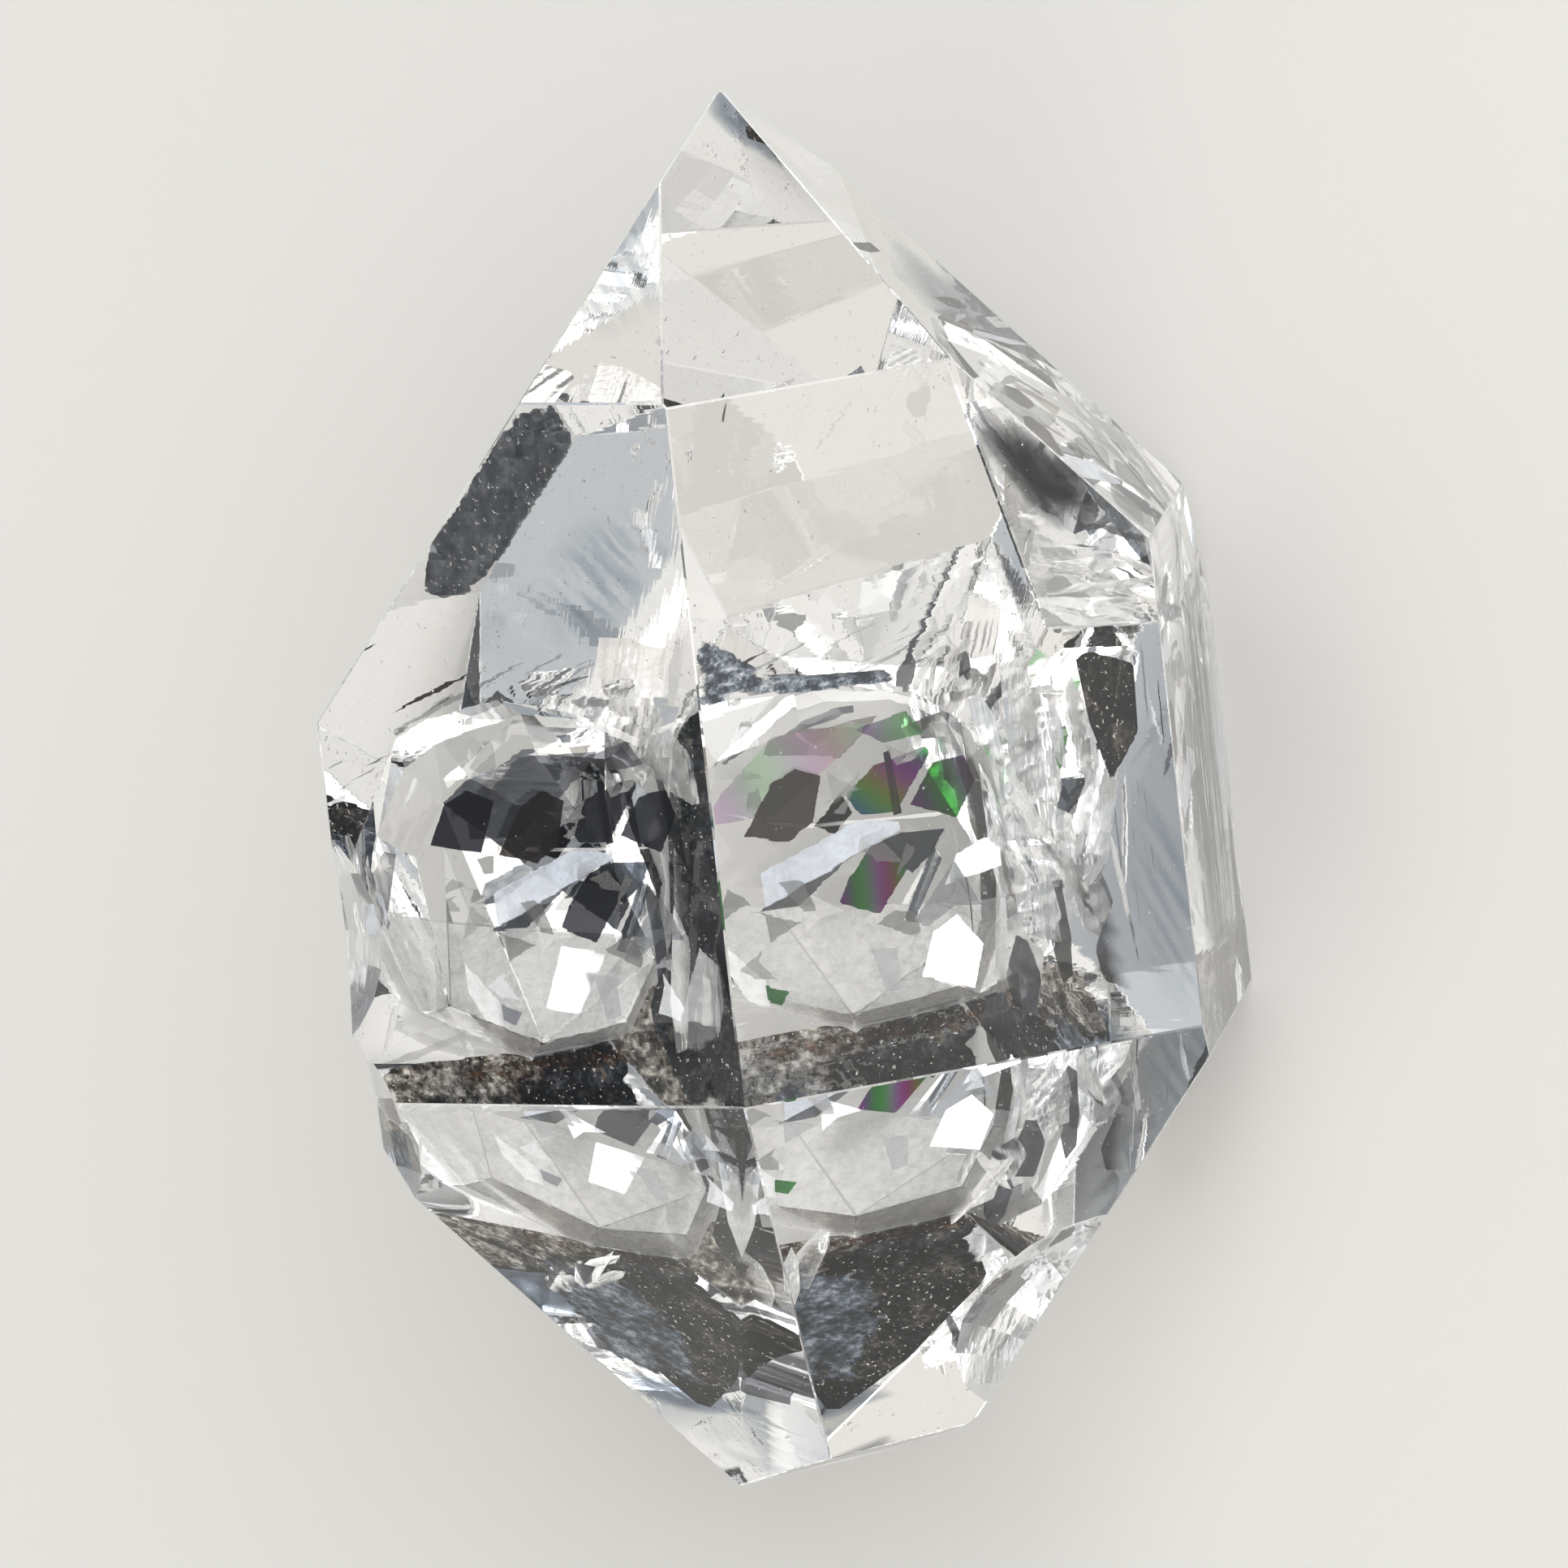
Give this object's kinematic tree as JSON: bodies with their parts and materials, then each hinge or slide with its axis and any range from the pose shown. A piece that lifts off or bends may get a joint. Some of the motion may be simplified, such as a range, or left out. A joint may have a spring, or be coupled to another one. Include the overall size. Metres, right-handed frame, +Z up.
{
  "type": "herkimer diamond",
  "caption": "Clear doubly terminated quartz crystal: a stubby six-sided prism with a pointed six-sided pyramid on each end.",
  "frame": {"origin": "middle of the footprint's bounding box, on the surface that the crystal lies on", "axes": "+Y along the crystal's c axis towards its longer pyramid, +Z up out of the surface that it lies on"},
  "size_m": [0.0142, 0.0208, 0.0121],
  "materials": {
    "clear_quartz": "natural crystal faces, clear with cracks and small inclusions"
  },
  "bodies": {
    "root": {"quartz_crystal": "clear_quartz"}
  },
  "joints": []
}
